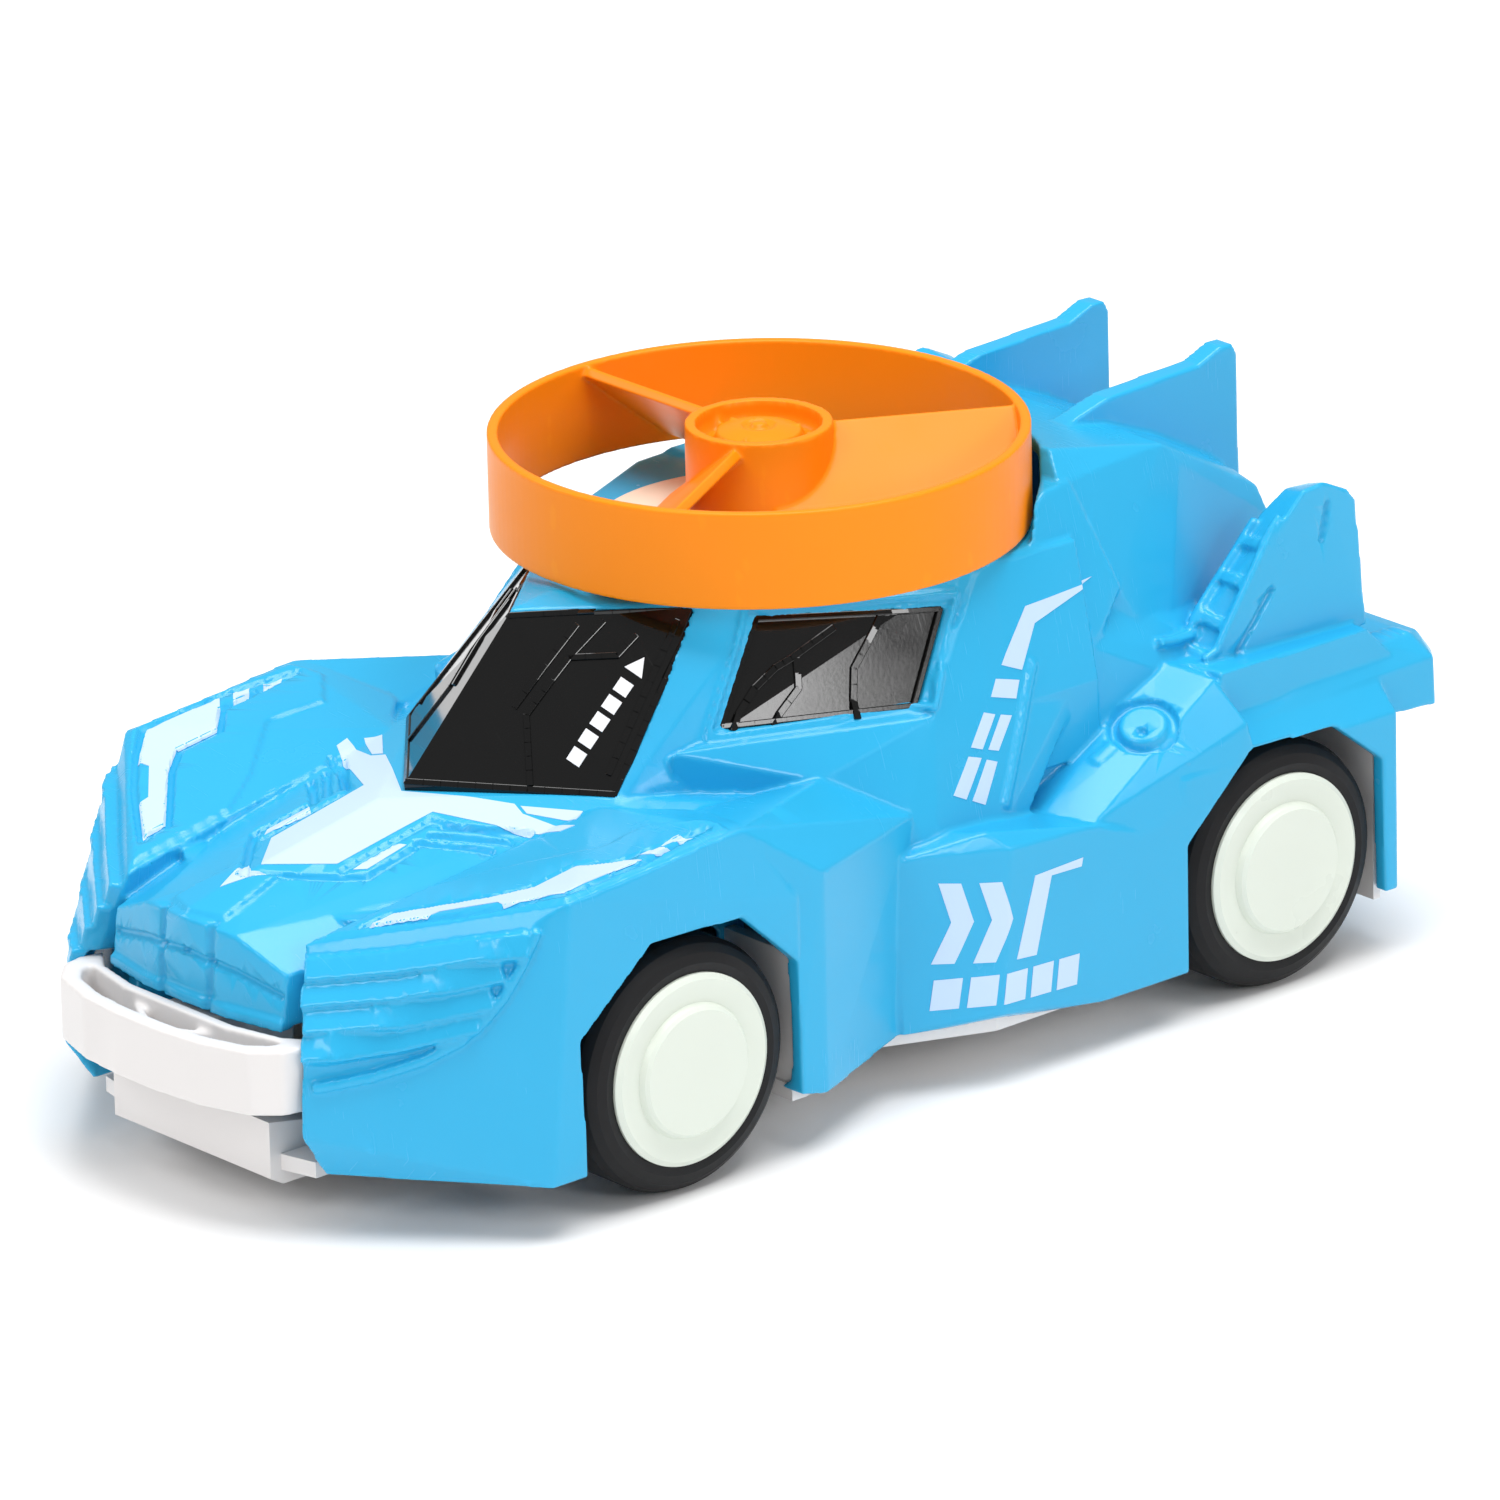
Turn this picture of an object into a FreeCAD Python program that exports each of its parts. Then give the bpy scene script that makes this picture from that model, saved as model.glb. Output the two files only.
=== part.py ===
import FreeCAD, Part
import math
import os
from itertools import combinations

V = FreeCAD.Vector
os.makedirs("parts", exist_ok=True)

# Pull-back car with a propeller launcher on its roof.
# Millimetres, +Z up, nose towards -Y, wheels stand on z = 0.
# All working dimensions below count y from the front axle.
# SHIFT_Y then moves the middle of the length to y = 0.

SHIFT_Y = -28.85

# Running gear
WHEELBASE = 72.8
TYRE_R = 11.9
AXLE_Z = 11.9
AXLE_R = 1.25
RUN_GAP = 0.06
HUB_FACE_X = 32.8
HUB_BACK_X = 24.4
TYRE_FACE_X = 32.0
TYRE_BACK_X = 24.0
HUB_R = 9.0
HUB_DISC_R = 6.1
TYRE_BORE_R = 8.2
SPIGOT_R = 2.6

# Body shell
WALL = 1.5
ROOF_Z = 46.25
FLOOR_Z0 = 4.8
FLOOR_Z1 = 6.3

# Propeller and launcher
SPIN_Y = 37.6
RING_R = 24.9
RING_WALL = 1.0
RING_Z0 = 46.7
RING_Z1 = 55.9
PROP_HUB_R = 6.8
PROP_HUB_TOP = 56.2
BLADE_ANGLES = (60.0, 180.0, 300.0)
BLADE_PITCH = 40.0
BLADE_CHORD = 11.6
RING_CLEAR = 0.7
SPINDLE_R = 2.0

RATCHET_R = 8.0
RATCHET_Z0 = 31.0
RATCHET_TEETH = 8

# Trigger
LEVER_PIVOT = (20.0, 24.0)
LEVER_ARM = 10.0

# Screws, bosses and pins
BOSS_R = 2.4
SCREW_R = 1.0
SCREW_HEAD_R = 1.9
SCREW_HEAD_Z = (4.7, 5.6)
SCREW_TIP_Z = 12.6
PIN_R = 1.0

# Trigger bar and launcher seat
BAR_Z0 = 13.5
BAR_Z1 = 15.1
SEAT_Z0 = 44.9
SEAT_Z1 = 46.3
COLLAR_R = 4.4
COLLAR_Z0 = 42.6
CAGE_R = 13.0
CAGE_Z0 = 28.1
CAGE_Z1 = 29.7
CAGE_LEG_R = 1.5
CAGE_LEG_CIRCLE = 11.4

# Pull-back motor gears
MODULE = 0.6
Z_PINION = 10
Z_LARGE = 24
Z_SMALL = 10
Z_DRUM = 28
DRUM_YZ = (52.60, 17.0)
COMPOUND_YZ = (64.0, 17.05)
CASE_HALF_W = 10.5
PRESSURE_ANGLE = math.radians(20.0)
TOOTH_SLACK = 0.06


# ---------------------------------------------------------------- helpers

def box(x0, x1, y0, y1, z0, z1):
    return Part.makeBox(x1 - x0, y1 - y0, z1 - z0, V(x0, y0, z0))


def rod_z(r, x, y, z0, z1):
    return Part.makeCylinder(r, z1 - z0, V(x, y, z0))


def rod_x(r, y, z, x0, x1):
    return Part.makeCylinder(r, x1 - x0, V(x0, y, z), V(1, 0, 0))


def join(shapes):
    out = shapes[0]
    if len(shapes) > 1:
        out = shapes[0].multiFuse(shapes[1:])
    return out.removeSplitter()


def mirrored(shape):
    return shape.mirror(V(0, 0, 0), V(1, 0, 0))


def both_sides(points):
    return [(s * x, y, z) for x, y, z in points for s in (1, -1) if x or s == 1]


def flip(points):
    return [(-x, y, z) for x, y, z in points]


def prism_x(profile, x0, x1):
    """A plate with a (y, z) outline, from x0 to x1."""
    pts = [V(x0, y, z) for y, z in profile]
    return Part.Face(Part.makePolygon(pts + pts[:1])).extrude(V(x1 - x0, 0, 0))


def prism_z(profile, z0, z1):
    pts = [V(x, y, z0) for x, y in profile]
    return Part.Face(Part.makePolygon(pts + pts[:1])).extrude(V(0, 0, z1 - z0))


def outer_planes(pts):
    """(normal, distance, corners on it) of each plane with every point behind it."""
    found = {}
    for a, b, c in combinations(pts, 3):
        n = (b - a).cross(c - a)
        size = n.Length
        if size < 1e-3:
            continue
        n.normalize()
        side = [n.dot(p - a) for p in pts]
        if max(side) > FLAT_TOL:
            if min(side) < -FLAT_TOL:
                continue
            n = n * -1
        on = frozenset(k for k, v in enumerate(side) if abs(v) < FLAT_TOL)
        if on not in found or found[on][0] < size:
            found[on] = (size, n, n.dot(a))
    uses = [sum(k in on for on in found) for k in range(len(pts))]
    return [(n, d, [pts[k] for k in sorted(on) if uses[k] > 2]) for on, (_, n, d) in found.items()]


def faceted(points):
    """Solid with flat facets round the points."""
    faces = []
    for n, d, ring in outer_planes([V(*p) for p in points]):
        mid = sum(ring, V()) * (1.0 / len(ring))
        u = (ring[0] - mid).normalize()
        w = n.cross(u)
        ring.sort(key=lambda p: math.atan2((p - mid).dot(w), (p - mid).dot(u)))
        faces.append(Part.Face(Part.makePolygon(ring + ring[:1])))
    solid = Part.Solid(Part.Shell(faces))
    if solid.Volume < 0:
        solid.reverse()
    return solid


def shrunk(points, inset, open_below=False):
    """The faceted solid with its faces moved in, and its floor dropped if open below."""
    planes = outer_planes([V(*p) for p in points])
    solid = faceted(points)
    if open_below:
        low = [p for n, d, ring in planes if n.z < FLOOR_TILT for p in ring]
        solid = faceted(points + [(p.x, p.y, p.z - OPEN_DROP) for p in low])
    for n, d, ring in planes:
        if open_below and n.z < FLOOR_TILT:
            continue
        block = Part.makeBox(BIG, BIG, BIG, V(-BIG / 2, -BIG / 2, 0))
        turn = FreeCAD.Rotation(V(0, 0, 1), n)
        block.transformShape(FreeCAD.Placement(n * (d - inset), turn).toMatrix())
        solid = solid.cut(block)
    return solid


def involute(angle):
    return math.tan(angle) - angle


def gear(teeth, y, z, x0, x1, phase, bore):
    """Spur gear on an axis along X; phase is the direction of one tooth."""
    pitch_r = MODULE * teeth / 2
    base_r = pitch_r * math.cos(PRESSURE_ANGLE)
    root_r = pitch_r - 1.2 * MODULE
    tip_r = pitch_r + 0.85 * MODULE
    half = math.pi / (2 * teeth) - TOOTH_SLACK / pitch_r + involute(PRESSURE_ANGLE)
    start_r = max(base_r, root_r)
    radii = [start_r + (tip_r - start_r) * k / 3 for k in range(4)]
    flank = [(r, half - involute(math.acos(base_r / r))) for r in radii]
    flank = [(root_r, flank[0][1])] + flank
    pts = []
    for k in range(teeth):
        mid = phase + 2 * math.pi * k / teeth
        side = [(r, mid - a) for r, a in flank] + [(r, mid + a) for r, a in reversed(flank)]
        pts += [(y + r * math.cos(a), z + r * math.sin(a)) for r, a in side]
    return prism_x(pts, x0, x1).cut(rod_x(bore, y, z, x0 - 1, x1 + 1))


def coil(r_wire, r_coil, height, turns, x, y, z, along_y=False):
    """Helical spring of eight-sided wire standing on (x, y, z)."""
    pitch = height / turns
    path = Part.makeHelix(pitch, height, r_coil)
    corners = []
    for k in range(8):
        turn = math.pi * (k + 0.5) / 4
        corners.append(V(r_coil + r_wire * math.cos(turn), 0, r_wire * math.sin(turn)))
    section = Part.makePolygon(corners + corners[:1])
    body = Part.Wire(path).makePipeShell([section], True, True)
    if along_y:
        body.rotate(V(0, 0, 0), V(1, 0, 0), -90)
    body.translate(V(x, y, z))
    return body


# ---------------------------------------------------------------- body outline

HOOD = both_sides([
    (0, -31.8, 26.4), (6, -30.8, 25.9), (12.0, -29.8, 23.4), (12.0, -30.4, 18.2),
    (0, -31.8, 18.0), (6, -31.6, 18.0), (0, -22.3, 28.9), (0, -5.7, 32.1),
    (13.8, -13.4, 27.4), (15.0, 7.2, 31.3), (24.0, 20.0, 30.0), (24.0, 20.0, 15.0),
    (14.0, -10.0, 15.0),
])
FENDER = [
    (12.4, -27.9, 26.1), (31.1, -12.8, 31.0), (31.3, 7.2, 32.7), (29.0, 8.6, 32.3),
    (13.8, -13.6, 27.6), (14.6, 4.8, 31.0), (20.2, 10.4, 30.9), (22.4, 11.2, 30.9),
    (32.4, -16.6, 5.2), (16.3, -29.7, 5.6), (16.8, -32.6, 10.0), (16.3, -31.9, 16.4),
    (32.4, 12.8, 25.0), (32.4, 12.8, 6.4), (18.0, 12.8, 6.4), (16.3, -20.0, 5.6),
    (32.4, -12.6, 5.2),
]
POST = [
    (31.3, 7.2, 32.7), (23.5, 23.5, 31.2), (32.4, 15.9, 26.6), (32.4, 12.0, 6.2),
    (32.4, 15.9, 5.3), (27.6, 28.7, 6.0), (27.4, 31.0, 26.6), (20.0, 32.0, 29.0),
    (20.0, 10.0, 30.5), (20.0, 10.0, 6.2), (20.0, 31.0, 6.0),
]
CABIN = both_sides([
    (0, -5.7, 32.1), (15.0, 7.2, 31.3), (0, 7.5, 45.5), (0, 12.0, 46.2),
    (11.0, 21.6, 45.5), (14.6, 25.2, 45.9), (22.2, 42.0, 45.9), (22.6, 56.0, 45.9),
    (16.3, 13.0, 31.6), (16.2, 17.5, 35.5), (24.3, 35.3, 35.0), (25.5, 42.0, 33.0),
    (25.5, 56.0, 33.0), (25.5, 42.0, 26.0), (25.5, 56.0, 26.0), (16.0, 10.0, 26.0),
    (0, -5.0, 26.0), (23.5, 31.0, 26.0),
])
SILL = [
    (16.4, 12.2, 31.4), (16.6, 11.9, 34.8), (25.6, 35.5, 34.6), (24.4, 49.2, 36.4),
    (23.5, 23.5, 31.0), (28.4, 41.0, 23.0), (27.0, 31.0, 26.8), (28.6, 33.0, 22.5),
    (18.0, 49.0, 36.0), (18.0, 47.0, 22.0), (14.0, 12.4, 31.2), (16.0, 33.0, 22.5),
]
DOOR = [
    (25.6, 35.5, 34.6), (24.6, 36.6, 37.5), (22.6, 43.6, 45.2), (20.6, 54.0, 50.4),
    (20.1, 57.5, 50.6), (23.0, 61.2, 39.9), (24.4, 49.2, 36.4), (27.6, 45.0, 23.0),
    (28.4, 41.0, 23.0), (28.4, 36.0, 23.0), (14.0, 37.0, 34.6), (14.0, 56.0, 50.4),
    (14.0, 61.0, 40.0), (14.0, 45.0, 23.0), (14.0, 43.6, 45.2),
]
POD = [
    (28.2, 28.7, 23.2), (28.2, 28.7, 6.2), (31.0, 36.8, 24.5), (32.4, 38.5, 22.8),
    (32.4, 37.5, 7.0), (32.4, 49.4, 22.3), (32.4, 50.3, 4.9), (32.4, 60.6, 4.8),
    (32.4, 60.6, 17.4), (28.0, 47.4, 22.8), (22.0, 30.0, 24.0),
    (22.0, 47.0, 23.0), (22.0, 60.6, 17.4), (22.0, 30.0, 6.2), (22.0, 60.6, 4.8),
]
QUARTER = [
    (27.6, 46.2, 22.6), (31.9, 49.2, 22.4), (32.4, 52.7, 18.6), (32.4, 60.6, 15.0),
    (32.4, 66.8, 23.8), (32.2, 68.4, 27.2), (30.0, 66.2, 31.6), (24.6, 64.4, 32.4),
    (21.0, 66.0, 32.4), (21.0, 46.2, 22.0), (21.0, 60.6, 12.0), (21.0, 70.0, 20.0),
    (32.4, 70.0, 20.0),
]
REAR = both_sides([
    (32.4, 60.0, 23.8), (32.4, 87.0, 23.6), (32.4, 87.0, 6.1), (32.4, 60.6, 6.1),
    (28.0, 88.6, 23.0), (28.0, 88.4, 6.1), (30.0, 67.0, 27.5), (30.0, 86.0, 27.5),
])
DECK = both_sides([
    (30.0, 67.0, 31.9), (30.0, 85.6, 31.5), (30.0, 89.4, 27.5), (30.0, 66.0, 22.5),
    (30.0, 89.4, 22.5), (22.0, 66.0, 32.2),
])
TAIL = both_sides([
    (30.6, 66.8, 24.1), (30.6, 93.6, 22.2), (28.2, 95.4, 22.1), (28.2, 95.4, 26.6),
    (30.6, 93.4, 26.9), (29.0, 92.0, 29.2), (27.6, 94.0, 28.8), (29.4, 88.0, 29.4),
    (30.6, 70.0, 26.6),
])
HUMP = both_sides([
    (0, 63.6, 51.0), (9.4, 63.8, 51.0), (17.6, 57.4, 53.0), (20.1, 56.2, 50.4),
    (17.6, 71.3, 50.1), (17.8, 73.4, 47.8), (14.0, 83.8, 43.6), (14.6, 86.2, 41.6),
    (15.6, 86.8, 38.8), (22.6, 61.2, 39.8), (16.0, 88.0, 31.0), (24.0, 66.0, 31.0),
    (0, 86.0, 44.0), (20.4, 54.0, 44.0), (22.4, 60.0, 38.6),
])
SPINE = both_sides([
    (23.2, 48.0, 40.0), (21.8, 62.0, 38.8), (19.0, 72.0, 38.0), (24.4, 48.0, 25.0),
    (25.4, 54.0, 24.0), (25.6, 66.0, 30.6), (25.0, 72.0, 30.6), (24.0, 72.0, 22.0),
    (24.0, 48.0, 20.0), (24.0, 60.0, 20.0),
])
OUTER_FIN = [
    (27.6, 68.3, 30.9), (27.6, 77.2, 43.4), (27.6, 79.9, 45.9), (27.6, 82.4, 46.1),
    (27.4, 85.6, 44.6), (27.4, 86.7, 43.3), (27.8, 87.6, 30.9), (22.3, 66.6, 31.2),
    (22.6, 79.0, 42.6), (23.2, 81.6, 44.6), (23.6, 84.2, 44.6), (24.4, 86.3, 43.2),
    (23.0, 87.0, 30.9),
]
TOP_FIN = [
    (63.8, 50.4), (71.7, 52.5), (83.4, 53.0), (86.2, 54.1), (87.7, 54.0), (88.2, 53.0),
    (88.4, 40.6), (74.0, 44.0),
]
TOP_FIN_X = (7.7, 9.9)
FRONT_ARCH = [
    (-12.6, 2.0), (-12.6, 17.9), (-4.0, 24.9), (6.4, 24.7), (12.8, 18.8), (13.0, 2.0),
]
REAR_ARCH = [
    (60.5, 2.0), (60.6, 17.4), (68.5, 24.5), (79.4, 24.0), (85.2, 19.4), (85.5, 2.0),
]
SCREEN_REGION = both_sides([
    (14.8, 6.9, 31.5), (14.8, -12.0, 31.5), (10.7, 21.2, 45.2), (10.7, -12.0, 45.2),
])
SIDE_GLASS = [(17.6, 35.7), (35.2, 35.1), (40.0, 43.2), (24.0, 44.3)]
SIDE_GLASS_SINK = 0.5
GLASS_T = 0.9
BASE_R = 15.5
BIG = 400.0
OPEN_DROP = 6.0
FLOOR_TILT = -0.8
FLAT_TOL = 1e-6
BOSSES = [(10.5, -20.0), (-10.5, -20.0), (17.0, 46.0), (-17.0, 46.0)]


def two(points):
    return [faceted(points), faceted(flip(points))]


def body_shell():
    """Moulded one-piece upper body: outer facets less an inner hollow."""
    whole = [faceted(p) for p in (HOOD, CABIN, SPINE, REAR, DECK, TAIL, HUMP)]
    for side in (FENDER, POST, SILL, DOOR, POD, QUARTER, OUTER_FIN):
        whole += two(side)
    for x0, x1 in (TOP_FIN_X, [-x for x in reversed(TOP_FIN_X)]):
        whole.append(prism_x(TOP_FIN, x0, x1))
    body = join(whole)
    hollow = [shrunk(p, WALL, True) for p in (HOOD, CABIN, SPINE, REAR, DECK, HUMP)]
    for side in (FENDER, POST, SILL, POD, QUARTER):
        half = shrunk(side, WALL, True)
        hollow += [half, mirrored(half)]
    body = body.cut(join(hollow))
    for s in (1, -1):
        x0, x1 = sorted((s * 20.0, s * 40.0))
        body = body.cut(prism_x(FRONT_ARCH, x0, x1))
        body = body.cut(prism_x(REAR_ARCH, x0, x1))
        body = body.cut(side_region(s))
    body = body.cut(faceted(SCREEN_REGION))
    body = body.cut(rod_z(RING_R + RING_CLEAR, 0, SPIN_Y, ROOF_Z, 80.0))
    body = body.cut(rod_z(BASE_R + 0.05, 0, SPIN_Y, 40.0, 60.0))
    body = body.cut(bumper_bay())
    body = body.cut(box(-21.0, 21.0, -12.0, -1.0, 0.0, 26.6))
    body = body.cut(box(-21.0, 21.0, -1.0, 85.2, 0.0, 28.6))
    posts = []
    for x, y in BOSSES:
        top = 26.6 if y < 0 else 45.4
        post = rod_z(BOSS_R, x, y, FLOOR_Z1 + 0.05, top)
        posts.append(post.cut(rod_z(SCREW_R + 0.02, x, y, 5.0, 16.0)))
    return join([body] + posts)


def side_region(s):
    x0, x1 = sorted((s * 8.0, s * 40.0))
    return prism_x(SIDE_GLASS, x0, x1)


def glazing(region, sink):
    outer = shrunk(CABIN, sink) if sink > 0 else faceted(CABIN)
    inner = shrunk(CABIN, sink + GLASS_T)
    return outer.cut(inner).common(region)


def windscreen():
    return glazing(faceted(SCREEN_REGION), 0.0)


def bumper_bay():
    """Mouth in the nose that the bumper's stem slides through."""
    return box(-16.2, 16.2, -40.0, -25.5, 4.0, 18.6)


# ---------------------------------------------------------------- chassis

def chassis(shell):
    """Tub with floor, wheel-well liners and axle saddles, trimmed to the body."""
    floor = [
        (6.0, -31.5), (14.8, -29.5), (15.2, -13.0), (21.0, -13.0), (21.0, 13.2),
        (30.6, 13.2), (30.6, 15.0), (26.0, 27.0), (30.6, 38.0), (30.6, 59.0),
        (21.0, 60.4), (21.0, 85.6), (-21.0, 85.6),
    ]
    half = floor[:-1]
    outline = half + [(-x, y) for x, y in reversed(half)]
    parts = [prism_z(outline, FLOOR_Z0, FLOOR_Z1)]
    for s in (1, -1):
        for y in (0.0, WHEELBASE):
            x0, x1 = sorted((s * 18.6, s * 20.6))
            parts.append(box(x0, x1, y - 4.0, y + 4.0, FLOOR_Z1, AXLE_Z + 3.0))
        x0, x1 = sorted((s * 21.0, s * 30.6))
        parts.append(box(x0, x1, 13.4, 14.6, FLOOR_Z0, 19.0))
        parts.append(box(x0, x1, 59.0, 60.2, FLOOR_Z0, 17.0))
        x0, x1 = sorted((s * 19.0, s * 30.4))
        parts.append(box(x0, x1, 85.7, 86.6, FLOOR_Z0, 22.0))
        x0, x1 = sorted((s * 19.0, s * 21.0))
        parts.append(box(x0, x1, 84.0, 86.6, FLOOR_Z0, 22.0))
    lip = [(-31.6, 4.2), (-30.2, 3.4), (-22.0, 3.4), (-14.0, 4.8), (-14.0, 6.3), (-31.6, 9.6)]
    parts.append(prism_x(lip, -11.0, 11.0))
    for x in (-5.2, 3.8):
        parts.append(box(x, x + 1.4, -20.0, 16.0, FLOOR_Z1, 17.0))
    for x in (-5.2, 2.7):
        parts.append(box(x, x + 2.5, LEVER_PIVOT[0] - 3, LEVER_PIVOT[0] + 3, FLOOR_Z1, 27.0))
    parts.append(box(-3.9, 3.9, 13.4, 14.9, FLOOR_Z1, 11.4))
    tub = join(parts)
    for y in (0.0, WHEELBASE):
        tub = tub.cut(rod_x(AXLE_R + RUN_GAP, y, AXLE_Z, -40.0, 40.0))
    tub = tub.cut(rod_x(PIN_R + 0.05, LEVER_PIVOT[0], LEVER_PIVOT[1], -10.0, 10.0))
    for x, y in BOSSES:
        tub = tub.cut(rod_z(SCREW_R + 0.15, x, y, 0.0, 10.0))
        tub = tub.cut(rod_z(SCREW_HEAD_R + 0.2, x, y, 0.0, SCREW_HEAD_Z[1]))
    return max(tub.cut(shell).Solids, key=lambda solid: solid.Volume)


def screws():
    out = []
    for x, y in BOSSES:
        head = rod_z(SCREW_HEAD_R, x, y, *SCREW_HEAD_Z)
        slot = box(x - 1.3, x + 1.3, y - 0.25, y + 0.25, 4.5, 5.1)
        cross = box(x - 0.25, x + 0.25, y - 1.3, y + 1.3, 4.5, 5.1)
        shank = rod_z(SCREW_R, x, y, SCREW_HEAD_Z[1], SCREW_TIP_Z)
        out.append(join([head.cut(slot).cut(cross), shank]))
    return Part.makeCompound(out)


# ---------------------------------------------------------------- wheels

def turned_x(profile, y, z):
    """Revolve an (x, r) outline about the X axis through (y, z)."""
    pts = [V(x, y, z + r) for x, r in profile]
    return Part.Face(Part.makePolygon(pts + pts[:1])).revolve(V(0, y, z), V(1, 0, 0), 360)


def hub(y):
    outline = [
        (HUB_BACK_X - 2.6, AXLE_R), (HUB_FACE_X - 1.2, AXLE_R), (HUB_FACE_X - 1.2, 0.0),
        (HUB_FACE_X + 0.3, 0.0), (HUB_FACE_X + 0.3, HUB_DISC_R - 0.3),
        (HUB_FACE_X, HUB_DISC_R), (HUB_FACE_X - 0.55, HUB_DISC_R + 0.25),
        (HUB_FACE_X - 0.35, HUB_R - 0.5), (HUB_FACE_X - 0.7, HUB_R),
        (TYRE_FACE_X - 0.45, HUB_R), (TYRE_FACE_X - 0.45, TYRE_BORE_R),
        (HUB_BACK_X + 0.4, TYRE_BORE_R), (HUB_BACK_X + 0.4, TYRE_BORE_R - 1.2),
        (HUB_FACE_X - 3.0, TYRE_BORE_R - 1.2), (HUB_FACE_X - 3.0, SPIGOT_R),
        (HUB_BACK_X - 2.6, SPIGOT_R),
    ]
    return turned_x(outline, y, AXLE_Z)


def tyre(y):
    x0, x1, r = TYRE_BACK_X, TYRE_FACE_X, TYRE_R
    outline = [
        (x0 + 0.4, TYRE_BORE_R), (x1 - 0.5, TYRE_BORE_R), (x1 - 0.5, HUB_R + 0.05),
        (x1 - 0.15, HUB_R + 0.05), (x1, r - 2.0), (x1 - 0.3, r - 1.1), (x1 - 0.9, r - 0.4),
        (x1 - 1.8, r), (x0 + 1.6, r), (x0 + 0.8, r - 0.4), (x0 + 0.2, r - 1.1),
        (x0, r - 2.0), (x0, TYRE_BORE_R + 0.5),
    ]
    return turned_x(outline, y, AXLE_Z)


def axle(y):
    end = HUB_FACE_X - 1.3
    return rod_x(AXLE_R, y, AXLE_Z, -end, end)


def axle_pinion():
    return gear(Z_PINION, WHEELBASE, AXLE_Z, -4.6, -1.4, PHASE_1, AXLE_R)


# ---------------------------------------------------------------- motor

PHASE_1 = math.atan2(COMPOUND_YZ[1] - AXLE_Z, COMPOUND_YZ[0] - WHEELBASE)
PHASE_2 = math.atan2(DRUM_YZ[1] - COMPOUND_YZ[1], DRUM_YZ[0] - COMPOUND_YZ[0])
SHAFT_R = 0.9


def compound_gear():
    y, z = COMPOUND_YZ
    bore = SHAFT_R + RUN_GAP
    large = gear(Z_LARGE, y, z, -4.2, -1.8, PHASE_1 + math.pi + math.pi / Z_LARGE, bore)
    small = gear(Z_SMALL, y, z, -1.8, 3.0, PHASE_2, bore)
    return join([large, small])


def drum_gear():
    y, z = DRUM_YZ
    disc = gear(Z_DRUM, y, z, -0.6, 1.6, PHASE_2 + math.pi + math.pi / Z_DRUM, SHAFT_R + RUN_GAP)
    arbor = rod_x(2.2, y, z, 1.6, 7.6).cut(rod_x(SHAFT_R + RUN_GAP, y, z, 0.0, 9.0))
    rim = rod_x(7.6, y, z, 1.6, 7.6).cut(rod_x(6.9, y, z, 0.0, 9.0))
    return join([disc, arbor, rim])


def mainspring():
    """Wound steel ribbon between the arbor and the drum wall."""
    y, z = DRUM_YZ
    turns, steps, thick = 4.0, 24, 0.3
    r0, r1 = 2.5, 6.2
    inner, outer = [], []
    for k in range(int(turns * steps) + 1):
        a = 2 * math.pi * k / steps
        r = r0 + (r1 - r0) * k / (turns * steps)
        inner.append((y + r * math.cos(a), z + r * math.sin(a)))
        outer.append((y + (r + thick) * math.cos(a), z + (r + thick) * math.sin(a)))
    return prism_x(inner + outer[::-1], 2.0, 7.2)


def case_outline(grow):
    g = grow
    return [
        (41.6 - g, 9.0 - g), (44.4 - g, 6.4 - g), (75.0 + g, 6.4 - g), (77.6 + g, 9.0 - g),
        (77.6 + g, 14.6 + g), (69.0 + g, 27.8 + g), (44.4 - g, 27.8 + g), (41.6 - g, 24.0 + g),
    ]


def motor_case(s):
    x0, x1 = sorted((s * 0.05, s * CASE_HALF_W))
    half = prism_x(case_outline(0.0), x0, x1)
    i0, i1 = sorted((0.0, s * (CASE_HALF_W - 1.2)))
    half = half.cut(prism_x(case_outline(-1.2), i0, i1))
    half = half.cut(rod_x(AXLE_R + RUN_GAP, WHEELBASE, AXLE_Z, -20.0, 20.0))
    for y, z in (DRUM_YZ, COMPOUND_YZ):
        half = half.cut(rod_x(SHAFT_R, y, z, -20.0, 20.0))
    return half


def gear_shafts():
    end = CASE_HALF_W + 0.4
    return Part.makeCompound([rod_x(SHAFT_R, y, z, -end, end) for y, z in (DRUM_YZ, COMPOUND_YZ)])


# ---------------------------------------------------------------- trigger

BUMPER_Z0 = 11.9
BUMPER_Z1 = 18.1


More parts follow.
